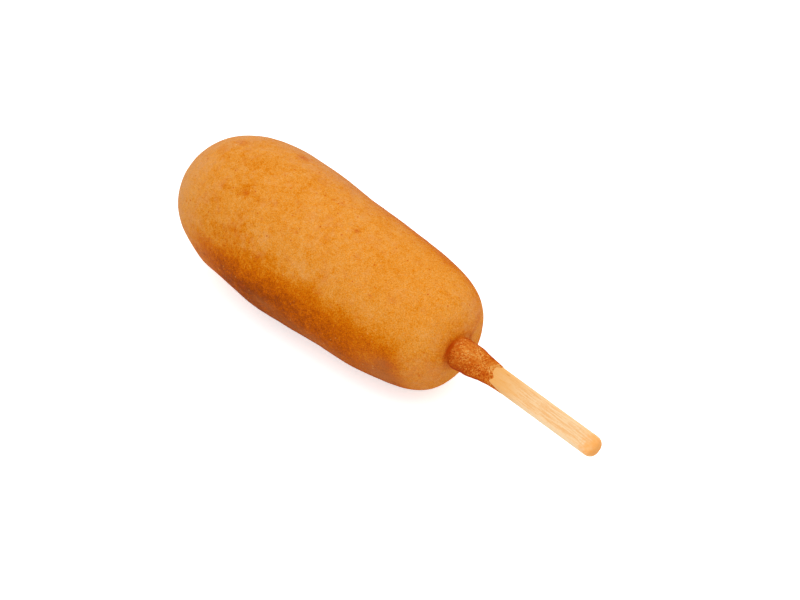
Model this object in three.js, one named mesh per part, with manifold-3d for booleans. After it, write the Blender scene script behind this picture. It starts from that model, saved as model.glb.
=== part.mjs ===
// Corn dog: a fried corn batter coating round a sausage, on a flat wooden stick.
//
// It lies on its side on a small flat spot of the batter, as it would on a table. X runs along
// it, towards the free end of the stick, and Z is up. The origin is the middle of the flat
// spot. All sizes are in millimetres.
//
// Two pieces: the batter, with the collar that the dip leaves on the stick, and the stick,
// which reaches far into the batter through a socket of its own shape.

import * as THREE from "three";
import * as BufferGeometryUtils from "three/addons/utils/BufferGeometryUtils.js";
import Module from "manifold-3d";

// ---- Driving dimensions ---------------------------------------------------------------

// Batter body, measured along its own axis from the round far end.
const farEndAt = 0.4;
const farEndFullness = 15.8; // radius out to which the far end is nearly flat
const farEndTurn = 23; // length over which it then turns into the side
const widestRadius = 19.8;
const widestAt = 35;
const taperEase = 7; // length over which the taper sets in and lets go
const taperSlope = 0.064;
const shoulderRadius = 17.75; // where the near end starts to round off
const shoulderAt = 72.5;
const shoulderTurn = 12.4;
const nearEndFullness = 14.85; // radius out to which the near end is nearly flat
const nearEndDome = 1.7; // how far it domes inside that radius
const creaseAt = 95.1; // where the body meets the collar
const creaseRadius = 4.1;

// Collar of batter that climbs the stick.
const collarBulge = 4.35; // how far it swells out past the crease
const collarBulgeAt = 3.4; // past the crease
const collarRoundUntil = 1.5; // past the crease, from where it flattens to suit the stick
const collarEnd = 106.6; // where the batter ends on the flat of the stick
const collarThinning = 5.1; // length of its thin last part
const collarWall = 0.35; // batter left outside the socket at that end
const tonguesFrom = 5; // past the crease, from where the tongues stretch it

// Flat stick with tumbled edges.
const stickLength = 114;
const stickWidth = 5.3;
const stickThickness = 2.9;
const stickEdge = 0.95; // how far its edges are rounded
const stickTipAt = 141.6; // free tip, along the body's axis
const stickRoll = 38; // degrees that its flat leans over towards -Y
const stickYaw = -1.95; // degrees off the body's axis
const stickAside = 0.55; // how far off the axis it leaves the body, towards +Y
const stickEndSquareness = 0.59; // 0.55 is a half circle
const fitGap = 0.3; // clearance in the socket, all round

// How it lies.
const axisHeight = 18.7; // height of the body's axis at its middle
const bodyMiddle = 49; // the point of the axis that it is tipped about
const pitch = 2; // degrees that the stick end dips, as the body tapers to it
const flatSpot = new THREE.Vector2(-3, 0); // middle of the flat spot, from under bodyMiddle

// Fineness.
const sides = 64;
const farCapRings = 13;
const flankRings = 12;
const nearCapRings = 13;
const collarRings = 9;
const stickCurveSteps = 6;
const stickEdgeSteps = 4;

// The body isn't quite straight: how far its axis sways to +Y, and over what length.
const sways = [
  { at: 18, reach: 12, by: 0.85 },
  { at: 99, reach: 20, by: -0.5 },
];

// Soft swells and hollows of the batter. "around" is the angle about the axis in degrees, from
// +Y over +Z. "reach" is how far each spreads, in millimetres along and in degrees around.
// They die out towards the two ends of the axis, between these radii.
const swellsFrom = 3;
const swellsFullBy = 12;
const swells = [
  { at: 10, around: 222, reach: [6, 40], by: -0.15 },
  { at: 26, around: 215, reach: [8, 35], by: -0.2 },
  { at: 41, around: 225, reach: [10, 40], by: 0.2 },
  { at: 57, around: 222, reach: [8, 40], by: -0.15 },
  { at: 69, around: 222, reach: [6, 40], by: 0.25 },
  { at: 81, around: 222, reach: [7, 40], by: -0.4 },
  { at: 50, around: 40, reach: [8, 35], by: -0.3 },
  { at: 92, around: 50, reach: [5, 60], by: 0.55 },
  { at: 93, around: 222, reach: [3, 50], by: 0.5 },
  { at: 30, around: 100, reach: [11, 30], by: 0.35 },
  { at: 62, around: 128, reach: [12, 30], by: 0.3 },
  { at: 80, around: 95, reach: [9, 35], by: -0.3 },
  { at: 44, around: 150, reach: [9, 25], by: -0.3 },
  { at: 22, around: 330, reach: [12, 45], by: 0.5 },
  { at: 66, around: 345, reach: [13, 40], by: -0.45 },
  { at: 85, around: 310, reach: [8, 45], by: 0.35 },
];

// Tongues of batter that run on along the stick past the end of the collar.
const tongues = [
  { around: 218, reach: 24, by: 3.6 },
  { around: 40, reach: 22, by: 1.4 },
  { around: 315, reach: 34, by: 1.9 },
];

// ---- Helpers --------------------------------------------------------------------------

const { degToRad, radToDeg, lerp, smoothstep } = THREE.MathUtils;

// 1 at no distance, falling smoothly to nothing over a few times the reach.
function hump(distance, reach) {
  return Math.exp(-((distance / reach) ** 2));
}

// The shortest way round from one angle to another, in degrees.
function turnBetween(a, b) {
  return ((((a - b) % 360) + 540) % 360) - 180;
}

const manifold = await Module();
manifold.setup();

// A closed geometry as a manifold solid, and back.
function toSolid(geometry) {
  const bare = geometry.clone();
  bare.deleteAttribute("normal");
  bare.deleteAttribute("uv");
  const merged = BufferGeometryUtils.mergeVertices(bare, 1e-4);
  return new manifold.Manifold(
    new manifold.Mesh({
      numProp: 3,
      vertProperties: merged.attributes.position.array,
      triVerts: new Uint32Array(merged.index.array),
    }),
  );
}

function toGeometry(solid) {
  const mesh = solid.getMesh();
  const geometry = new THREE.BufferGeometry();
  geometry.setAttribute("position", new THREE.BufferAttribute(mesh.vertProperties, 3));
  geometry.setIndex(new THREE.BufferAttribute(mesh.triVerts, 1));
  geometry.computeVertexNormals();
  return geometry;
}

// ---- Batter ---------------------------------------------------------------------------

// The collar's section where it ends, round the stick and its clearance.
const collarHalfWidth = stickWidth / 2 + fitGap + collarWall;
const collarHalfThickness = stickThickness / 2 + fitGap + collarWall;

// Half of the lengthwise section, as (radius, distance along the axis).
function batterProfile() {
  const at = (radius, along) => new THREE.Vector2(radius, along);
  const farCap = new THREE.CubicBezierCurve(
    at(0, farEndAt),
    at(farEndFullness, farEndAt),
    at(widestRadius, widestAt - farEndTurn),
    at(widestRadius, widestAt),
  );
  const flank = new THREE.CubicBezierCurve(
    at(widestRadius, widestAt),
    at(widestRadius, widestAt + taperEase),
    at(shoulderRadius + taperSlope * taperEase, shoulderAt - taperEase),
    at(shoulderRadius, shoulderAt),
  );
  const nearCap = new THREE.CubicBezierCurve(
    at(shoulderRadius, shoulderAt),
    at(shoulderRadius - taperSlope * shoulderTurn, shoulderAt + shoulderTurn),
    at(nearEndFullness, creaseAt - nearEndDome),
    at(creaseRadius, creaseAt),
  );
  const collar = new THREE.CubicBezierCurve(
    at(creaseRadius, creaseAt),
    at(collarBulge, creaseAt + collarBulgeAt),
    at(collarHalfWidth, collarEnd - collarThinning),
    at(collarHalfWidth, collarEnd),
  );
  return [
    ...farCap.getPoints(farCapRings).slice(0, -1),
    ...flank.getPoints(flankRings).slice(0, -1),
    ...nearCap.getPoints(nearCapRings).slice(0, -1),
    ...collar.getPoints(collarRings),
    at(0, collarEnd),
  ];
}

// Radius of that rounded flat section, at an angle in degrees from the stick's width.
function collarSectionRadius(turn) {
  const across = Math.abs(Math.cos(degToRad(turn))) / collarHalfWidth;
  const through = Math.abs(Math.sin(degToRad(turn))) / collarHalfThickness;
  return (across ** 3 + through ** 3) ** (-1 / 3);
}

// Where the stick's axis runs, off the body's axis towards +Y.
function stickAsideAt(along) {
  return stickAside + (along - creaseAt) * Math.tan(degToRad(stickYaw));
}

function swayAt(along) {
  return sways.reduce((sum, sway) => sum + sway.by * hump(along - sway.at, sway.reach), 0);
}

function swellAt(along, around) {
  let height = 0;
  for (const swell of swells) {
    const lengthwise = hump(along - swell.at, swell.reach[0]);
    height += swell.by * lengthwise * hump(turnBetween(around, swell.around), swell.reach[1]);
  }
  return height;
}

// How far the batter's tongues reach past the end of the collar.
function tongueAt(around) {
  return tongues.reduce(
    (sum, tongue) => sum + tongue.by * hump(turnBetween(around, tongue.around), tongue.reach),
    0,
  );
}

// Moves a point of the turned profile to its place on the real, uneven surface.
function shapeBatter(radius, along, around) {
  // Round at the crease, and the stick's flat section by the end of the collar.
  const flatness = smoothstep(along, creaseAt + collarRoundUntil, collarEnd);
  const section = collarSectionRadius(around - stickRoll) / collarHalfWidth;
  const swell = swellAt(along, around) * smoothstep(radius, swellsFrom, swellsFullBy);
  const reach = radius * lerp(1, section, flatness) + swell;

  // The middle of the end face stays where it is while tongues stretch its rim.
  const stretch = radius === 0 ? 0 : smoothstep(along, creaseAt + tonguesFrom, collarEnd);
  const stretched = along + tongueAt(around) * stretch;

  const onStick = smoothstep(along, creaseAt, collarEnd);
  const aside = lerp(swayAt(along), stickAsideAt(stretched), onStick);
  const angle = degToRad(around);
  return new THREE.Vector3(
    stretched,
    aside + reach * Math.cos(angle),
    reach * Math.sin(angle),
  );
}

// ---- Stick ----------------------------------------------------------------------------

// Flat bar with round ends and rounded edges, about the origin, along X with its flat up.
// "grow" adds to it all round.
function flatBar(grow) {
  const half = stickLength / 2 + grow;
  const side = stickWidth / 2 + grow;
  const handle = side * stickEndSquareness;
  const corner = half - side;
  const outline = new THREE.Shape();
  outline.moveTo(-corner, -side);
  outline.lineTo(corner, -side);
  outline.bezierCurveTo(corner + handle, -side, half, -handle, half, 0);
  outline.bezierCurveTo(half, handle, corner + handle, side, corner, side);
  outline.lineTo(-corner, side);
  outline.bezierCurveTo(-corner - handle, side, -half, handle, -half, 0);
  outline.bezierCurveTo(-half, -handle, -corner - handle, -side, -corner, -side);
  const edge = stickEdge + grow;
  const depth = stickThickness + 2 * grow - 2 * edge;
  const bar = new THREE.ExtrudeGeometry(outline, {
    depth,
    steps: 1,
    curveSegments: stickCurveSteps,
    bevelThickness: edge,
    bevelSize: edge,
    bevelOffset: -edge,
    bevelSegments: stickEdgeSteps,
  });
  return bar.translate(0, 0, -depth / 2);
}

// The bar in its place in the body.
function placedBar(grow) {
  const bar = flatBar(grow);
  bar.rotateX(degToRad(stickRoll));
  bar.rotateZ(degToRad(stickYaw));
  const middleAt = stickTipAt - stickLength / 2;
  return bar.translate(middleAt, stickAsideAt(middleAt), 0);
}

// ---- Assembly -------------------------------------------------------------------------

// Tips the dog about its middle, lifts it on to the table and sets the origin.
const lying = new THREE.Matrix4()
  .makeTranslation(-flatSpot.x, -flatSpot.y, axisHeight)
  .multiply(new THREE.Matrix4().makeRotationY(degToRad(pitch)))
  .multiply(new THREE.Matrix4().makeTranslation(-bodyMiddle, 0, 0));

function makeBatter() {
  const body = new THREE.LatheGeometry(batterProfile(), sides);
  const position = body.getAttribute("position");
  const point = new THREE.Vector3();
  for (let i = 0; i < position.count; i += 1) {
    point.fromBufferAttribute(position, i);
    const radius = Math.hypot(point.x, point.z);
    const around = radToDeg(Math.atan2(point.x, point.z)) + 180 / sides;
    const placed = shapeBatter(radius, point.y, around).applyMatrix4(lying);
    position.setXYZ(i, placed.x, placed.y, Math.max(placed.z, 0)); // flat where it lies
  }
  const socket = placedBar(fitGap).applyMatrix4(lying);
  return toGeometry(toSolid(body).subtract(toSolid(socket)));
}

const batter = new THREE.Mesh(
  makeBatter(),
  new THREE.MeshStandardMaterial({ color: 0xc9852f, roughness: 0.55, metalness: 0 }),
);
batter.name = "batter";

const stick = new THREE.Mesh(
  placedBar(0).applyMatrix4(lying),
  new THREE.MeshStandardMaterial({ color: 0xecc08a, roughness: 0.7, metalness: 0 }),
);
stick.name = "stick";

const cornDog = new THREE.Group();
cornDog.add(batter, stick);

export default cornDog;
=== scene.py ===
# Corn dog: a sausage in fried corn batter on a flat wooden stick, lying on its side.
#
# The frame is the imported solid's: X runs along the dog towards the free end of the stick, Z is
# up, and the origin is the middle of the flat spot that it lies on. Everything is in metres
# there. The stick and the batter are each shaped in a frame of their own, in millimetres.

from math import atan2, degrees, exp, hypot, radians, tan

import bmesh
import bpy
from mathutils import Matrix, Vector, noise


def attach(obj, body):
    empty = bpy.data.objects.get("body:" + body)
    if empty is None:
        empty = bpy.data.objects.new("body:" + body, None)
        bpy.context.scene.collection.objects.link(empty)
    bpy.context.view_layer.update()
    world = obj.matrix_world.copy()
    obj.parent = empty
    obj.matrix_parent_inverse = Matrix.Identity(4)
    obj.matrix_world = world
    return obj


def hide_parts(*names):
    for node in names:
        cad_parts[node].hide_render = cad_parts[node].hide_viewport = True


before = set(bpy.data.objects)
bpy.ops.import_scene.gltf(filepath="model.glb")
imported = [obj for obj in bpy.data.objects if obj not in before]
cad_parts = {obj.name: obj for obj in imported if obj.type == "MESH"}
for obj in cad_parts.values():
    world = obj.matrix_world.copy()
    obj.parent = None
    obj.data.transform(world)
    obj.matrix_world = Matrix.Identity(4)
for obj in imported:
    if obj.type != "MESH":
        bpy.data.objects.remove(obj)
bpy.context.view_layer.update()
scene = bpy.context.scene

# ---- Camera ---------------------------------------------------------------------------
# A long lens from well back, so that the dog shows little perspective. It looks down across
# the dog from beside the stick.

lens_length = 117
sensor_width = 36
camera_height = 38  # degrees up from the table
camera_turn = 46.21  # degrees round towards +X, from looking along +Y
camera_distance = 0.67096
camera_aim = Vector((0.00827, 0.01936, -0.0007))

camera = bpy.data.objects.new("camera", bpy.data.cameras.new("camera"))
camera.data.lens = lens_length
camera.data.sensor_width = sensor_width
camera.rotation_euler = (radians(90 - camera_height), 0, radians(camera_turn))
camera_back = camera.rotation_euler.to_matrix() @ Vector((0, 0, 1))
camera.location = camera_aim + camera_distance * camera_back
scene.collection.objects.link(camera)
scene.camera = camera
scene.view_settings.view_transform = "Standard"

# ---- Light ----------------------------------------------------------------------------
# A white tent all round gives most of the light. One large softbox over the table, on the
# side of the stick, shades the body softly.

room_brightness = 0.8
softbox_size = 1.0
softbox_power = 4.2  # watts
softbox_place = Vector((0.16, -0.03, 0.78))

room = bpy.data.worlds.new("white tent")
room.use_nodes = True
room.node_tree.nodes["Background"].inputs["Color"].default_value = (1, 1, 1, 1)
room.node_tree.nodes["Background"].inputs["Strength"].default_value = room_brightness
scene.world = room

softbox = bpy.data.objects.new("softbox", bpy.data.lights.new("softbox", "AREA"))
softbox.data.size = softbox_size
softbox.data.energy = softbox_power
softbox.location = softbox_place
softbox.rotation_euler = (-softbox_place).to_track_quat("-Z", "Y").to_euler()
scene.collection.objects.link(softbox)

# ---- Table ----------------------------------------------------------------------------
# A sheet of plain white paper, wide enough to fill the view. It isn't part of the dog, and
# only catches its shadow.

table_reach = 2.0
paper_white = 0.94
paper_glow = 0.6  # what the paper is brightened by where it is seen, so its shadow is pale


def make_object(name, bm):
    """A scene object with the mesh that bm holds, shaded smooth."""
    mesh = bpy.data.meshes.new(name)
    bm.to_mesh(mesh)
    bm.free()
    mesh.shade_smooth()
    made = bpy.data.objects.new(name, mesh)
    scene.collection.objects.link(made)
    return made


def new_material(name):
    """A material with a Principled shader, and that shader."""
    material = bpy.data.materials.new(name)
    material.use_nodes = True
    return material, material.node_tree.nodes["Principled BSDF"]


bm = bmesh.new()
bmesh.ops.create_grid(bm, x_segments=2, y_segments=2, size=table_reach)
table = make_object("table", bm)
paper, paper_shader = new_material("white paper")
paper_shader.inputs["Base Color"].default_value = (paper_white, paper_white, paper_white, 1)
paper_shader.inputs["Roughness"].default_value = 0.9
paper_shader.inputs["Specular IOR Level"].default_value = 0.1
paper_shader.inputs["Emission Color"].default_value = (paper_glow, paper_glow, paper_glow, 1)
seen = paper.node_tree.nodes.new("ShaderNodeLightPath").outputs["Is Camera Ray"]
paper.node_tree.links.new(seen, paper_shader.inputs["Emission Strength"])
table.data.materials.append(paper)

# ---- Stick ----------------------------------------------------------------------------
# A flat birch stick, stamped out of veneer with round ends and tumbled until its edges are
# round. The batter is dipped and fried round it, so it runs on inside for most of the body.

stick_length = 114
stick_width = 5.3
stick_thickness = 2.9
stick_corner = 2.3  # radius of the ends, seen on the flat
stick_corner_steps = 8
stick_edge = 0.95  # radius of the tumbled edges
stick_edge_steps = 4
stick_flat_margin = 0.25  # a narrow border that keeps the shading of the flats flat
stick_cut_every = 3  # step of the cuts across it, which keep its faces short
stick_tip_at = 141.6  # free tip, measured along the body's axis
stick_roll = 38  # degrees that its flat leans over towards -Y
stick_yaw = -1.95  # degrees off the body's axis
stick_leaves_at = 95.1  # where it comes out of the body
stick_aside = 0.55  # how far off the axis, towards +Y, it does so

# The body's own frame: X along its axis from the round far end, in millimetres.
body_middle = 49  # the point of the axis that the body is tipped about
body_ahead = 3  # how far that point lies past the middle of the flat spot
axis_height = 18.7  # of that point over the table
pitch = 2  # degrees that the end by the stick dips, as the body tapers to it
lying = (
    Matrix.Scale(0.001, 4)
    @ Matrix.Translation((body_ahead, 0, axis_height))
    @ Matrix.Rotation(radians(pitch), 4, "Y")
    @ Matrix.Translation((-body_middle, 0, 0))
)

# The stick's own frame in that: X lengthwise, Y across its flat and Z through it.
stick_middle_at = stick_tip_at - stick_length / 2
stick_middle_aside = stick_aside + (stick_middle_at - stick_leaves_at) * tan(radians(stick_yaw))
stick_in_body = (
    Matrix.Translation((stick_middle_at, stick_middle_aside, 0))
    @ Matrix.Rotation(radians(stick_yaw), 4, "Z")
    @ Matrix.Rotation(radians(stick_roll), 4, "X")
)


def bevel(bm, edges, radius, segments):
    """Rounds those edges off."""
    bmesh.ops.bevel(
        bm,
        geom=edges,
        offset=radius,
        offset_type="OFFSET",
        segments=segments,
        profile=0.5,
        affect="EDGES",
        material=-1,
    )


def is_flat(face):
    """Whether a face is the stick's top or bottom."""
    return abs(face.normal.z) > 0.99


bm = bmesh.new()
bmesh.ops.create_cube(bm, size=1)
bmesh.ops.scale(bm, vec=(stick_length, stick_width, stick_thickness), verts=bm.verts)
upright = [e for e in bm.edges if e.verts[0].co.z != e.verts[1].co.z]
bevel(bm, upright, stick_corner, stick_corner_steps)
rims = [e for e in bm.edges if any(is_flat(f) for f in e.link_faces)]
bevel(bm, rims, stick_edge, stick_edge_steps)
flats = [f for f in bm.faces if is_flat(f)]
bmesh.ops.inset_individual(bm, faces=flats, thickness=stick_flat_margin)
for i in range(1, int(stick_length / stick_cut_every)):
    bmesh.ops.bisect_plane(
        bm,
        geom=bm.verts[:] + bm.edges[:] + bm.faces[:],
        plane_co=(stick_cut_every * i - stick_length / 2, 0, 0),
        plane_no=(1, 0, 0),
    )

# Each point keeps its place in the stick's own frame, for the grain to follow.
grain_place = bm.verts.layers.float_vector.new("grain_place")
for vert in bm.verts:
    vert[grain_place] = vert.co
bm.transform(lying @ stick_in_body)
stick = make_object("wood_stick", bm)


def add(tree, kind, sockets=None, **settings):
    """A shader node with its settings and sockets. A socket takes a value or another output."""
    node = tree.nodes.new(kind)
    for name, value in settings.items():
        setattr(node, name, value)
    for name, value in (sockets or {}).items():
        if isinstance(value, bpy.types.NodeSocket):
            tree.links.new(value, node.inputs[name])
        else:
            node.inputs[name].default_value = value
    return node


def combine(tree, operation, a, b):
    """The outcome of one sum on two values."""
    return add(tree, "ShaderNodeMath", {0: a, 1: b}, operation=operation).outputs[0]


def combine_places(tree, operation, a, b):
    """The same for two places, or for a place and three values."""
    node = add(tree, "ShaderNodeVectorMath", {0: a, 1: b}, operation=operation)
    return node.outputs["Vector"]


def between(tree, value, low, high):
    """A mask that rises smoothly from 0 at low to 1 at high."""
    sockets = {"Value": value, "From Min": low, "From Max": high}
    node = add(tree, "ShaderNodeMapRange", sockets, interpolation_type="SMOOTHSTEP")
    return node.outputs["Result"]


def mix(tree, share, a, b):
    """Colour a, and colour b by its share."""
    node = add(tree, "ShaderNodeMix", {"Factor": share}, data_type="RGBA")
    for name, value in {"A_Color": a, "B_Color": b}.items():
        socket = next(s for s in node.inputs if s.identifier == name)
        if isinstance(value, bpy.types.NodeSocket):
            tree.links.new(value, socket)
        else:
            socket.default_value = (*value, 1)
    return next(s for s in node.outputs if s.identifier == "Result_Color")


def tint(tree, colour, mask, strength, shade):
    """The colour with a shade laid over it where the mask is, at that strength."""
    return mix(tree, combine(tree, "MULTIPLY", mask, strength), colour, shade)


def make_mottle():
    """Node group: soft blotches round 0, of one size, at a place given in millimetres."""
    group = bpy.data.node_groups.new("mottle", "ShaderNodeTree")
    sides = {"INPUT": ["Place", "Stretch", "Size", "Strength"], "OUTPUT": ["Value"]}
    for in_out, names in sides.items():
        for name in names:
            kind = "NodeSocketVector" if name in ("Place", "Stretch") else "NodeSocketFloat"
            group.interface.new_socket(name, in_out=in_out, socket_type=kind)
    given = group.nodes.new("NodeGroupInput").outputs
    stretched = combine_places(group, "DIVIDE", given["Place"], given["Stretch"])
    scale = combine(group, "DIVIDE", 1.0, given["Size"])
    pattern = add(
        group,
        "ShaderNodeTexNoise",
        {"Vector": stretched, "Scale": scale, "Detail": 1.0, "Roughness": 0.5},
    )
    centred = combine(group, "SUBTRACT", pattern.outputs["Fac"], 0.5)
    value = combine(group, "MULTIPLY", centred, given["Strength"])
    group.links.new(value, group.nodes.new("NodeGroupOutput").inputs["Value"])
    return group


mottle_group = make_mottle()


def mottle(tree, place, size, strength, stretch=(1, 1, 1)):
    """Soft blotches from the group."""
    node = tree.nodes.new("ShaderNodeGroup")
    node.node_tree = mottle_group
    tree.links.new(place, node.inputs["Place"])
    node.inputs["Stretch"].default_value = stretch
    node.inputs["Size"].default_value = size
    node.inputs["Strength"].default_value = strength
    return node.outputs["Value"]


wood_pale = (0.83, 0.57, 0.31)
wood_tan = (0.78, 0.42, 0.16)
wood_oiled = (0.74, 0.35, 0.075)
wood_streak = (0.66, 0.27, 0.05)
# Rubbed wood along the edges, with painted light and sheen on their rounding:
wood_rubbed_and_lit = (0.88, 0.64, 0.38)
wood_toasted = (0.88, 0.37, 0.08)
oiled_from, oiled_full = 40.0, 22.0  # along the stick from its middle, as are the next two
toasted_from, toasted_full = 51.3, 56.8
tip_edge_from, tip_edge_full = 55.4, 57.0
smear_at = (26.3, 1.84, 1.45)  # a smear of batter on the stick, in the stick's own frame
smear_size = (0.6, 0.16, 1)

wood, wood_shader = new_material("birch")
tree = wood.node_tree
place = add(tree, "ShaderNodeAttribute", attribute_name="grain_place").outputs["Vector"]
parts = add(tree, "ShaderNodeSeparateXYZ", {0: place}).outputs
along_stick, across_stick = parts["X"], parts["Y"]

# The grain runs lengthwise. Both edges are paler, partly rubbed and partly painted light
# and sheen on their rounding, the -Y edge most.
fine_grain = mottle(tree, place, 0.3, 3.4, (16, 1, 1))
grain = combine(tree, "ADD", fine_grain, 0.4)
for size, strength, stretch in ((0.9, 1.3, (12, 1, 1)), (0.22, 1.8, (1.5, 1, 1))):
    grain = combine(tree, "ADD", grain, mottle(tree, place, size, strength, stretch))
colour = mix(tree, between(tree, grain, -0.1, 1.1), wood_pale, wood_tan)
for low, high, strength in ((1.75, 2.5, 0.4), (-1.5, -2.3, 0.9)):
    colour = tint(tree, colour, between(tree, across_stick, low, high), strength, wood_rubbed_and_lit)

# Oil has soaked in by the batter, and the tip is toasted; its very end is darker still.
near_batter = combine(tree, "ADD", along_stick, mottle(tree, place, 1.2, 9.0, (6, 1, 1)))
oiled = between(tree, near_batter, oiled_from, oiled_full)
colour = tint(tree, colour, oiled, 0.85, wood_oiled)
near_tip = combine(tree, "ADD", along_stick, mottle(tree, place, 1.4, 7.0))
toasted = between(tree, near_tip, toasted_from, toasted_full)
colour = tint(tree, colour, toasted, 0.85, wood_toasted)
tip_edge = between(tree, along_stick, tip_edge_from, tip_edge_full)
colour = tint(tree, colour, tip_edge, 0.5, wood_streak)

# A few darker streaks, and the smear of batter.
streaks = between(tree, mottle(tree, place, 0.35, 1.0, (9, 1, 1)), 0.2, 0.3)
colour = tint(tree, colour, streaks, 0.45, wood_streak)
off_smear = combine_places(tree, "SUBTRACT", place, smear_at)
off_smear = combine_places(tree, "DIVIDE", off_smear, smear_size)
off_smear = add(tree, "ShaderNodeVectorMath", {0: off_smear}, operation="LENGTH").outputs["Value"]
colour = tint(tree, colour, between(tree, off_smear, 1.2, 0.6), 0.7, wood_streak)
tree.links.new(colour, wood_shader.inputs["Base Color"])
wood_shader.inputs["Roughness"].default_value = 0.62
wood_shader.inputs["Specular IOR Level"].default_value = 0.25
relief = add(tree, "ShaderNodeBump", {"Height": fine_grain, "Strength": 0.25, "Distance": 0.0001})
tree.links.new(relief.outputs["Normal"], wood_shader.inputs["Normal"])
stick.data.materials.append(wood)
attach(stick, "root")
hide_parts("stick")

# ---- Batter ---------------------------------------------------------------------------
# Corn batter, dipped and fried in one go: a body some 40 mm thick, and a collar that climbs
# the stick and ends there in a thin ragged film. Its skin is satin, with a fine grain, and
# browner on the collar and low on the flanks; part of that darkness is painted shade.

socket_from = 5  # inside the body, the socket for the stick lies past this point of its axis,
socket_radius = 6  # within this radius,
shoulder_at = 90  # up to this point,
socket_reach = 0.33  # and from there on within this distance of the stick
quad_bend = 50  # degrees that two triangles may be bent and still make one face
quad_skew = 70  # degrees that its corners may then be off square
root_at = 95.1  # where the body meets the collar
crease_radius = 4.2
crease_middle = Vector((95.3, -0.47, 0.1))
crease_lean = 0.05  # how much further towards the body its ring lies for each step up
thinning_from = 99  # where the collar starts to thin, along the body's axis
ragged_from = 100  # where its end starts to run on unevenly
collar_end = 106.6
film = 0.14  # share of its height off the stick that is left where it ends
sunk = -0.35  # how deep its edge is turned in, under the stick's surface

stick_core = Vector((stick_width / 2 - stick_edge, stick_thickness / 2 - stick_edge))
body_to_stick = stick_in_body.inverted()


def hump(distance, reach):
    """1 at no distance, falling smoothly to nothing over a few times the reach."""
    return exp(-((distance / reach) ** 2))


def rise(value, low, high):
    """0 below low, 1 above high, and smooth between them."""
    share = min(max((value - low) / (high - low), 0), 1)
    return share * share * (3 - 2 * share)


def turn_between(a, b):
    """The shortest way round from one angle to another, in degrees."""
    return (a - b + 180) % 360 - 180


def around_axis(point):
    """The angle of a point round the body's axis, from +Y over +Z, in degrees."""
    return degrees(atan2(point.z, point.y)) % 360


def patched(patches, along, around):
    """The sum of the patches at a place on the body."""
    total = 0
    for patch in patches:
        lengthwise = (along - patch["at"]) / patch["reach"][0]
        if abs(lengthwise) < 3:  # past that it adds as good as nothing
            round_it = turn_between(around, patch["around"]) / patch["reach"][1]
            total += patch["by"] * hump(hypot(lengthwise, round_it), 1)
    return total


def off_stick(point):
    """How far a point is off the stick's surface, with the way out to it from the core."""
    place = body_to_stick @ point
    core = Vector((
        place.x,
        min(max(place.y, -stick_core.x), stick_core.x),
        min(max(place.z, -stick_core.y), stick_core.y),
    ))
    outward = place - core
    return outward.length - stick_edge, core, outward.normalized()


def set_off_stick(point, height):
    """The point moved to that height off the stick."""
    _, core, outward = off_stick(point)
    return stick_in_body @ (core + outward * (stick_edge + height))


# The solid's outside, without the socket for the stick.
bm = bmesh.new()
bm.from_mesh(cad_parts["batter"].data)
bmesh.ops.remove_doubles(bm, verts=bm.verts, dist=1e-6)
bm.transform(lying.inverted())
socket = [
    v
    for v in bm.verts
    if (hypot(v.co.y, v.co.z) < socket_radius and socket_from < v.co.x < shoulder_at)
    or (v.co.x > shoulder_at and off_stick(v.co)[0] < socket_reach)
]
bmesh.ops.delete(bm, geom=socket, context="VERTS")
bmesh.ops.join_triangles(
    bm,
    faces=bm.faces,
    angle_face_threshold=radians(quad_bend),
    angle_shape_threshold=radians(quad_skew),
)

# The collar: how much further its end runs on, and how much thicker it is, by place.
rim_shifts = [
    {"at": 107, "around": 110, "reach": [9, 55], "by": 0.45},
    {"at": 107, "around": 67, "reach": [9, 12], "by": 1.2},
    {"at": 107, "around": 150, "reach": [9, 22], "by": 1.4},
    {"at": 107, "around": 194, "reach": [9, 14], "by": 2.5},
    {"at": 107, "around": 216, "reach": [9, 18], "by": 1.8},
]
collar_swells = [
    {"at": 96, "around": 104, "reach": [1.8, 30], "by": 0.35},
    {"at": 99.5, "around": 44, "reach": [2.5, 22], "by": 0.2},
    {"at": 104.5, "around": 50, "reach": [3, 30], "by": 0.25},
    {"at": 98.3, "around": 210, "reach": [1.3, 30], "by": -0.3},
    {"at": 101.2, "around": 215, "reach": [1.8, 28], "by": 0.25},
    {"at": 102.5, "around": 215, "reach": [4, 25], "by": 0.12},
]
for vert in bm.verts:
    if vert.co.x > root_at:
        along, around = vert.co.x, around_axis(vert.co)
        thin = 1 - (1 - film) * rise(along, thinning_from, collar_end)
        height = off_stick(vert.co)[0] * thin + patched(collar_swells, along, around)
        vert.co.x += patched(rim_shifts, along, around) * rise(along, ragged_from, collar_end)
        vert.co = set_off_stick(vert.co, height)

# Its edge turns in under the stick's surface and is closed there.
rim = [e for e in bm.edges if e.is_boundary]
turned_in = bmesh.ops.extrude_edge_only(bm, edges=rim)["geom"]
for vert in turned_in:
    if isinstance(vert, bmesh.types.BMVert):
        vert.co = set_off_stick(vert.co, sunk)
bmesh.ops.holes_fill(bm, edges=bm.edges, sides=0)
bmesh.ops.recalc_face_normals(bm, faces=bm.faces)
rough_batter = make_object("rough_batter", bm)
rounding = rough_batter.modifiers.new("rounding", "SUBSURF")
rounding.levels = rounding.render_levels = 2
ready = rough_batter.evaluated_get(bpy.context.evaluated_depsgraph_get())
smooth_batter = bpy.data.meshes.new_from_object(ready)
bpy.data.objects.remove(rough_batter)

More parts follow.
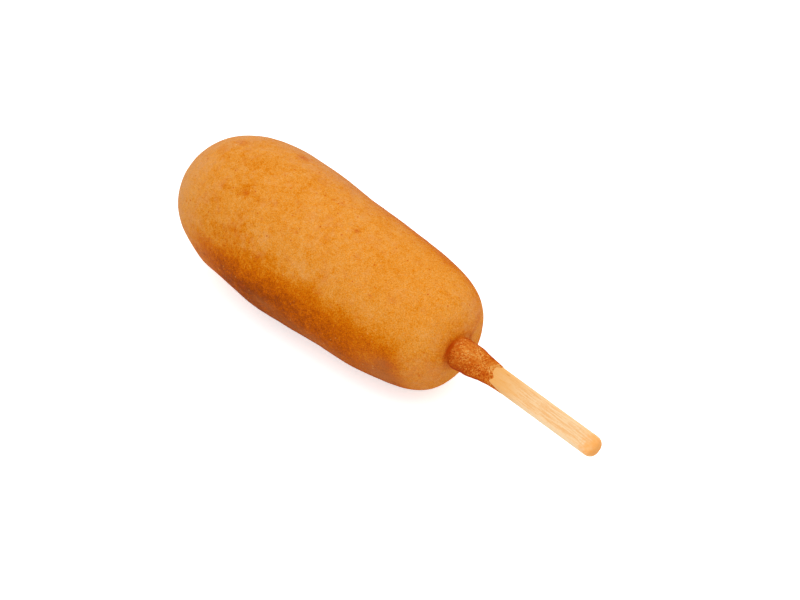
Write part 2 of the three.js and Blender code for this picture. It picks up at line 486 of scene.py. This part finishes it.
# Relief of the skin, as how wide its forms are and how high, and where it swells.
skin_relief = [(9, 0.10), (3.2, 0.05), (1.3, 0.022)]
skin_swells = [
    {"at": 1, "around": 90, "reach": [5, 400], "by": 0.2},
    {"at": 5, "around": 50, "reach": [6, 30], "by": 0.15},
    {"at": 87, "around": 40, "reach": [8, 40], "by": 0.27},
    {"at": 52, "around": 35, "reach": [60, 25], "by": 0.1},
    {"at": 65, "around": 35, "reach": [10, 25], "by": 0.1},
    {"at": 18, "around": 210, "reach": [4, 24], "by": 0.4},
    {"at": 56, "around": 215, "reach": [12, 24], "by": 0.15},
]
collar_relief = [(2.4, 0.12), (1.0, 0.08), (0.5, 0.03)]
crust_from, crust_full = 95, 98  # where the collar's rough crust sets in, along the axis
film_from, film_full = 103, 107  # where it gives way to the film at its end
film_smoothness = 0.65  # share of the crust's relief that the film lacks
crease_depth = 0.42
crease_width = 0.45


def relief_at(point, forms):
    """The height of the relief at a point."""
    return sum(high * noise.noise(point / wide + Vector((wide, 0, 0))) for wide, high in forms)


def to_crease(point):
    """How far a point is from the ring where the body meets the collar."""
    place = point - crease_middle
    return hypot(hypot(place.y, place.z) - crease_radius, place.x + crease_lean * place.z)


bm = bmesh.new()
bm.from_mesh(smooth_batter)
bm.normal_update()
moves = []
for vert in bm.verts:
    on_film = rise(vert.co.x, film_from, film_full)
    on_collar = rise(vert.co.x, crust_from, crust_full)
    height = relief_at(vert.co, skin_relief) + patched(skin_swells, vert.co.x, around_axis(vert.co))
    if on_collar > 0:
        crust = relief_at(vert.co, collar_relief) * (1 - film_smoothness * on_film)
        height += (crust - height) * on_collar
    height -= crease_depth * hump(to_crease(vert.co), crease_width)
    if off_stick(vert.co)[0] < 0:
        height = 0
    moves.append(vert.normal * height)
for vert, move in zip(bm.verts, moves):
    vert.co += move

# How much browner than golden the skin is, or paler, in patches. The last three are broad, and
# go down the far side and round under it.
brown_patches = [
    {"at": 4, "around": 145, "reach": [9, 45], "by": -0.2},
    {"at": 72, "around": 208, "reach": [12, 11], "by": -0.12},
    {"at": 81, "around": 180, "reach": [5, 10], "by": -0.1},
    {"at": 57, "around": 150, "reach": [3, 9], "by": -0.12},
    {"at": 54, "around": 178, "reach": [5, 7], "by": 0.06},
    {"at": 42, "around": 146, "reach": [3, 9], "by": -0.08},
    {"at": 26, "around": 168, "reach": [8, 8], "by": -0.15},
    {"at": 35, "around": 148, "reach": [4, 5], "by": 0.12},
    {"at": 32, "around": 154, "reach": [2.5, 5], "by": 0.08},
    {"at": 47, "around": 154, "reach": [2.5, 5], "by": 0.08},
    {"at": 18, "around": 197, "reach": [4, 7], "by": 0.16},
    {"at": 12, "around": 187, "reach": [2.5, 6], "by": 0.22},
    {"at": 38, "around": 192, "reach": [2, 4.5], "by": 0.5},
    {"at": 43, "around": 193, "reach": [4, 5], "by": 0.14},
    {"at": 53, "around": 201, "reach": [5, 6], "by": 0.16},
    {"at": 86.4, "around": 184, "reach": [1.8, 4], "by": 0.2},
    {"at": 80, "around": 187, "reach": [3, 6], "by": -0.14},
    {"at": 7, "around": 171, "reach": [3, 7], "by": 0.14},
    {"at": 2, "around": 140, "reach": [3, 9], "by": -0.1},
    {"at": 14.5, "around": 85, "reach": [2.5, 5], "by": 0.24},
    {"at": 22, "around": 126, "reach": [2, 6], "by": 0.05},
    {"at": 22, "around": 139, "reach": [2.5, 5], "by": 0.1},
    {"at": 12.2, "around": 100, "reach": [2, 6], "by": 0.2},
    {"at": 25, "around": 101, "reach": [4, 7], "by": 0.15},
    {"at": 29, "around": 121, "reach": [2.5, 6], "by": 0.18},
    {"at": 30, "around": 66, "reach": [2, 5], "by": 0.15},
    {"at": 3, "around": 85, "reach": [5, 32], "by": 0.22},
    {"at": 80, "around": 54, "reach": [5, 13], "by": 0.14},
    {"at": 93.8, "around": 32, "reach": [1.2, 9], "by": 0.15},
    {"at": 64, "around": 38, "reach": [26, 17], "by": 0.5},
    {"at": 58, "around": 350, "reach": [30, 24], "by": 0.35},
    {"at": 50, "around": 275, "reach": [30, 25], "by": 0.12},
]

# Where it is a paler tan, mostly towards the round end, where it is a dull brown, and its small
# red spots. The tan and dull patches are partly painted sheen, near its outline as the camera sees
# it.
tan_and_sheen_patches = [
    {"at": 2, "around": 90, "reach": [10, 70], "by": 0.8},
    {"at": 3, "around": 85, "reach": [5, 32], "by": -0.35},
    {"at": 2, "around": 190, "reach": [8, 60], "by": 0.5},
    {"at": 11, "around": 200, "reach": [11, 18], "by": 0.4},
    {"at": 16, "around": 169, "reach": [8, 8], "by": 0.15},
    {"at": 24, "around": 48, "reach": [20, 17], "by": 0.55},
    {"at": 14, "around": 75, "reach": [6, 12], "by": 0.3},
    {"at": 93, "around": 215, "reach": [4, 35], "by": 0.35},
    {"at": 93.5, "around": 42, "reach": [2.5, 35], "by": 0.35},
    {"at": 94, "around": 145, "reach": [2, 25], "by": 0.15},
    {"at": 42, "around": 60, "reach": [22, 15], "by": 0.22},
]
dull_and_sheen_patches = [
    {"at": 84, "around": 204, "reach": [6, 20], "by": 0.8},
    {"at": 85.5, "around": 184, "reach": [2.2, 5], "by": 0.5},
    {"at": 60, "around": 206, "reach": [18, 9], "by": 0.5},
    {"at": 45, "around": 195, "reach": [5, 5], "by": 0.4},
    {"at": 32, "around": 44, "reach": [40, 20], "by": 0.3},
]
red_spots = [
    {"at": 86.4, "around": 184, "reach": [1.5, 3], "by": 0.4},
    {"at": 37.8, "around": 191, "reach": [1.2, 3], "by": 0.5},
    {"at": 30.3, "around": 66, "reach": [1.0, 3], "by": 0.7},
    {"at": 61.2, "around": 97.5, "reach": [0.7, 1.7], "by": 0.9},
    {"at": 29.6, "around": 123, "reach": [0.9, 2.2], "by": 0.8},
    {"at": 82, "around": 127, "reach": [1.2, 2.5], "by": 0.3},
    {"at": 22.2, "around": 127, "reach": [1.0, 2.5], "by": 0.2},
    {"at": 22.5, "around": 139, "reach": [1.2, 2.5], "by": 0.25},
    {"at": 53, "around": 102, "reach": [1.0, 2.0], "by": 0.25},
    {"at": 57, "around": 117, "reach": [0.8, 1.6], "by": 0.35},
    {"at": 67, "around": 115, "reach": [1.2, 2.0], "by": 0.3},
    {"at": 49, "around": 86, "reach": [0.5, 1.2], "by": 0.6},
    {"at": 49, "around": 126, "reach": [0.5, 1.2], "by": 0.5},
    {"at": 34.2, "around": 123, "reach": [0.35, 1.0], "by": 0.6},
    {"at": 38.5, "around": 132, "reach": [0.35, 1.0], "by": 0.5},
    {"at": 76.3, "around": 134, "reach": [0.4, 1.0], "by": 0.9},
]

# How dark the collar is: along its two edges and at its root, as crust with painted shade,
# and in patches, one of them a painted highlight on its upper side.
collar_dark_and_shade_patches = [
    {"at": 99, "around": 200, "reach": [6, 36], "by": 0.25},
    {"at": 102, "around": 222, "reach": [9, 22], "by": 0.6},
    {"at": 102, "around": 38, "reach": [9, 15], "by": 1.0},
    {"at": 96, "around": 165, "reach": [1.4, 35], "by": 0.2},
    {"at": 96, "around": 110, "reach": [1.4, 25], "by": 0.08},
    {"at": 96.9, "around": 64, "reach": [1.5, 16], "by": 0.22},
    {"at": 95.6, "around": 71, "reach": [0.5, 6], "by": 0.4},
    {"at": 101.5, "around": 150, "reach": [2.2, 25], "by": 0.2},
    {"at": 100, "around": 115, "reach": [2.4, 30], "by": -0.12},
    {"at": 105.4, "around": 158, "reach": [1.1, 22], "by": 0.25},
    {"at": 107, "around": 88, "reach": [1.6, 30], "by": -0.35},
    {"at": 102, "around": 300, "reach": [8, 50], "by": 0.3},
]


def band_browning_and_shade(point, along, around):
    """How brown the band low on the near side is, with painted shade: it wanders, and fades out at
    its ends.
    """
    wander = noise.noise(point / 9) * 3 + noise.noise(point / 3) * 2.5
    low = around + wander + 2 * hump(along - 60, 14) - 3 * hump(along - 80, 7)
    band = 0.44 * rise(low, 144, 177)
    band += 0.3 * rise(low, 166, 200) * (1 - 0.5 * rise(along, 38, 62))
    ends = (1 - rise(around, 225, 265)) * rise(along, 9, 33) * (1 - 0.8 * rise(along, 85, 91))
    return band * ends


def root_browning_and_shade(from_crease, round_root):
    """Browner skin widely round the collar's root, and painted shade closer in on the near side."""
    wide = 0.21 * hump(from_crease, 3.5) * hump(turn_between(round_root, 95), 60)
    return wide + 0.3 * hump(from_crease, 1.7) * hump(turn_between(round_root, 130), 42)


def painted_crease_shadow(from_crease, round_root):
    """How dark the painted crease shadow is: a fine line, clear on the near side, faint elsewhere.
    """
    return hump(from_crease, 0.6) * (0.1 + 1.15 * hump(turn_between(round_root, 142), 48))


collar_usual = 0.48  # how dark the collar is outside its patches
collar_from, collar_full = 94.7, 95.9  # where its colour sets in, along the axis,
root_zone = 4  # within this distance of its root,
past_body = 96  # or past this point, where nothing of the body is left

browning_and_shade = bm.verts.layers.float.new("browning_and_shade")
tan_and_sheen = bm.verts.layers.float.new("tan_and_sheen")
dullness_and_sheen = bm.verts.layers.float.new("dullness_and_sheen")
redness = bm.verts.layers.float.new("redness")
collarness = bm.verts.layers.float.new("collar")
collar_dark_and_shade = bm.verts.layers.float.new("collar_dark_and_shade")
crease = bm.verts.layers.float.new("crease")
body_place = bm.verts.layers.float_vector.new("body_place")
for vert in bm.verts:
    along, around = vert.co.x, around_axis(vert.co)
    round_root = around_axis(vert.co - crease_middle)
    from_crease = to_crease(vert.co)
    in_collar = from_crease < root_zone or along > past_body
    # Browner skin, with painted shade low on the near flank and close round the collar's root.
    band = band_browning_and_shade(vert.co, along, around)
    root = root_browning_and_shade(from_crease, round_root)
    vert[browning_and_shade] = band + root + patched(brown_patches, along, around)
    vert[tan_and_sheen] = patched(tan_and_sheen_patches, along, around)
    vert[dullness_and_sheen] = patched(dull_and_sheen_patches, along, around)
    vert[redness] = patched(red_spots, along, around)
    vert[collarness] = rise(along, collar_from, collar_full) if in_collar else 0
    vert[collar_dark_and_shade] = collar_usual + patched(collar_dark_and_shade_patches, along, around)
    vert[crease] = painted_crease_shadow(from_crease, round_root)
    vert[body_place] = vert.co

# It is laid down, and nothing of it may reach below the table.
bm.transform(lying)
for vert in bm.verts:
    vert.co.z = max(vert.co.z, 0)
batter = make_object("fried_batter", bm)

skin_pale = (0.71, 0.33, 0.085)
skin_golden = (0.68, 0.250, 0.026)
skin_orange = (0.61, 0.170, 0.001)
skin_deep = (0.54, 0.112, 0)
skin_brown = (0.41, 0.078, 0)
skin_dark = (0.33, 0.059, 0.001)
skin_darkest = (0.22, 0.038, 0.003)
# Tan and dull are partly painted sheen, where the skin is seen near its outline.
skin_tan_and_sheen = (0.65, 0.292, 0.105)
skin_dull_and_sheen = (0.44, 0.137, 0.032)
skin_red = (0.51, 0.085, 0.004)
collar_shades = [
    (0.0, (0.70, 0.34, 0.090)),
    (0.3, (0.63, 0.21, 0.028)),
    (0.6, (0.52, 0.11, 0.006)),
    (1.0, (0.38, 0.045, 0.002)),
]
# The colour of the painted shadow in the crease between body and collar.
crease_shadow_colour = (0.42, 0.050, 0.001)
even_from, even_full = 50.0, 85.0  # where the skin gets more even, along the body's axis
evenness = 0.35  # by what share it then varies less


def shades(tree, value, stops):
    """A colour that runs through the stops, each a place from 0 to 1 and its colour."""
    ramp = add(tree, "ShaderNodeValToRGB", {"Fac": value})
    elements = ramp.color_ramp.elements
    elements.remove(elements[1])
    elements[0].position, elements[0].color = stops[0][0], (*stops[0][1], 1)
    for at, shade in stops[1:]:
        elements.new(at).color = (*shade, 1)
    return ramp.outputs["Color"]


def make_freckles():
    """Node group: small round dots scattered over a place given in millimetres."""
    group = bpy.data.node_groups.new("freckles", "ShaderNodeTree")
    group.interface.new_socket("Place", in_out="INPUT", socket_type="NodeSocketVector")
    for name in ("Spacing", "Size", "Share"):
        group.interface.new_socket(name, in_out="INPUT", socket_type="NodeSocketFloat")
    group.interface.new_socket("Mask", in_out="OUTPUT", socket_type="NodeSocketFloat")
    given = group.nodes.new("NodeGroupInput").outputs
    scale = combine(group, "DIVIDE", 1.0, given["Spacing"])
    cells = add(group, "ShaderNodeTexVoronoi", {"Vector": given["Place"], "Scale": scale})
    edge = combine(group, "DIVIDE", given["Size"], given["Spacing"])
    dot = between(group, cells.outputs["Distance"], edge, combine(group, "MULTIPLY", edge, 0.4))
    pick = add(group, "ShaderNodeSeparateColor", {0: cells.outputs["Color"]}).outputs["Red"]
    kept = combine(group, "LESS_THAN", pick, given["Share"])
    mask = combine(group, "MULTIPLY", dot, kept)
    group.links.new(mask, group.nodes.new("NodeGroupOutput").inputs["Mask"])
    return group


freckle_group = make_freckles()


def freckles(tree, place, spacing, size, share):
    """Scattered dots from the group."""
    node = tree.nodes.new("ShaderNodeGroup")
    node.node_tree = freckle_group
    tree.links.new(place, node.inputs["Place"])
    node.inputs["Spacing"].default_value = spacing
    node.inputs["Size"].default_value = size
    node.inputs["Share"].default_value = share
    return node.outputs["Mask"]


def painted(tree, name):
    """How much of one finish the mesh has, at each place."""
    return add(tree, "ShaderNodeAttribute", attribute_name=name).outputs["Fac"]


def shifted(tree, place, by):
    """The place moved on, so that one mottle doesn't fall on another of the same size."""
    return combine_places(tree, "ADD", place, (by, by, by))


fried, fried_shader = new_material("fried batter")
tree = fried.node_tree
place = add(tree, "ShaderNodeAttribute", attribute_name="body_place").outputs["Vector"]

# The skin runs from pale gold to dark brown, unevenly.
uneven = mottle(tree, place, 9.0, 0.18)
for size, strength in ((2.6, 0.32), (1.1, 0.36)):
    uneven = combine(tree, "ADD", uneven, mottle(tree, place, size, strength))

# The end by the stick browns more evenly.
along_body = add(tree, "ShaderNodeSeparateXYZ", {0: place}).outputs["X"]
by_stick = between(tree, along_body, even_from, even_full)
contrast = combine(tree, "SUBTRACT", 1.0, combine(tree, "MULTIPLY", by_stick, evenness))
uneven = combine(tree, "MULTIPLY", uneven, contrast)
uneven = combine(tree, "ADD", uneven, mottle(tree, place, 0.3, 0.75))
# How brown the skin is painted, with the painted shade in it.
browner = painted(tree, "browning_and_shade")
stronger = combine(tree, "MULTIPLY", browner, 0.6)
uneven = combine(tree, "MULTIPLY", uneven, combine(tree, "ADD", 1.0, stronger))
brown = combine(tree, "ADD", combine(tree, "ADD", browner, uneven), 0.3)
brown = combine(tree, "DIVIDE", brown, 1.25)
skin_shades = [
    (0.0, skin_pale),
    (0.24, skin_golden),
    (0.4, skin_orange),
    (0.544, skin_deep),
    (0.704, skin_brown),
    (0.8, skin_dark),
    (1.0, skin_darkest),
]
colour = shades(tree, brown, skin_shades)

# Tan in patches, partly painted sheen, and in blotches of the golden skin, then the dull
# patches, also partly painted sheen, and red spots.
golden = between(tree, browner, 0.3, 0.05)
blotches = combine(
    tree,
    "ADD",
    mottle(tree, shifted(tree, place, 40), 6.0, 0.65),
    mottle(tree, shifted(tree, place, 80), 1.5, 0.8),
)
blotches = combine(tree, "MULTIPLY", blotches, combine(tree, "MULTIPLY", golden, contrast))
patchy = combine(tree, "ADD", 0.95, mottle(tree, shifted(tree, place, 60), 2.2, 1.6))
patchy = combine(tree, "ADD", patchy, mottle(tree, shifted(tree, place, 60), 0.7, 1.6))
tan_and_sheen_share = combine(tree, "MULTIPLY", painted(tree, "tan_and_sheen"), patchy)
colour = mix(tree, combine(tree, "ADD", tan_and_sheen_share, blotches), colour, skin_tan_and_sheen)
colour = mix(tree, painted(tree, "dullness_and_sheen"), colour, skin_dull_and_sheen)
colour = mix(tree, painted(tree, "redness"), colour, skin_red)

# The collar's crust is darker and grainier, in places more than in others, and carries the
# painted shade along its edges and root.
rough_here = between(tree, mottle(tree, shifted(tree, place, 20), 2.6, 1.0), -0.25, 0.15)
crust_and_shade = combine(tree, "MULTIPLY", mottle(tree, place, 0.28, 2.4), rough_here)
crust_and_shade = combine(tree, "ADD", crust_and_shade, painted(tree, "collar_dark_and_shade"))
for size, strength in ((2.2, 0.5), (0.6, 0.8)):
    crust_and_shade = combine(tree, "ADD", crust_and_shade, mottle(tree, place, size, strength))
colour = mix(tree, painted(tree, "collar"), colour, shades(tree, crust_and_shade, collar_shades))

# Fine dots all over, the painted shadow in the crease, and last the finest grain of light and dark.
colour = tint(tree, colour, freckles(tree, place, 2.1, 0.32, 0.5), 0.8, skin_red)
pale_dots = freckles(tree, shifted(tree, place, 40), 1.6, 0.3, 0.3)
colour = tint(tree, colour, pale_dots, 0.6, skin_pale)
colour = mix(tree, painted(tree, "crease"), colour, crease_shadow_colour)
grain = combine(tree, "ADD", mottle(tree, place, 0.22, 0.7), 1.0)
grainy = add(tree, "ShaderNodeHueSaturation", {"Color": colour, "Value": grain})
tree.links.new(grainy.outputs["Color"], fried_shader.inputs["Base Color"])
fried_shader.inputs["Roughness"].default_value = 0.5
fried_shader.inputs["Specular IOR Level"].default_value = 0.01
height = combine(tree, "ADD", mottle(tree, place, 0.35, 1.0), mottle(tree, place, 1.2, 1.2))
relief = add(tree, "ShaderNodeBump", {"Height": height, "Strength": 1.0, "Distance": 0.0001})
tree.links.new(relief.outputs["Normal"], fried_shader.inputs["Normal"])
batter.data.materials.append(fried)
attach(batter, "root")
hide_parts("batter")
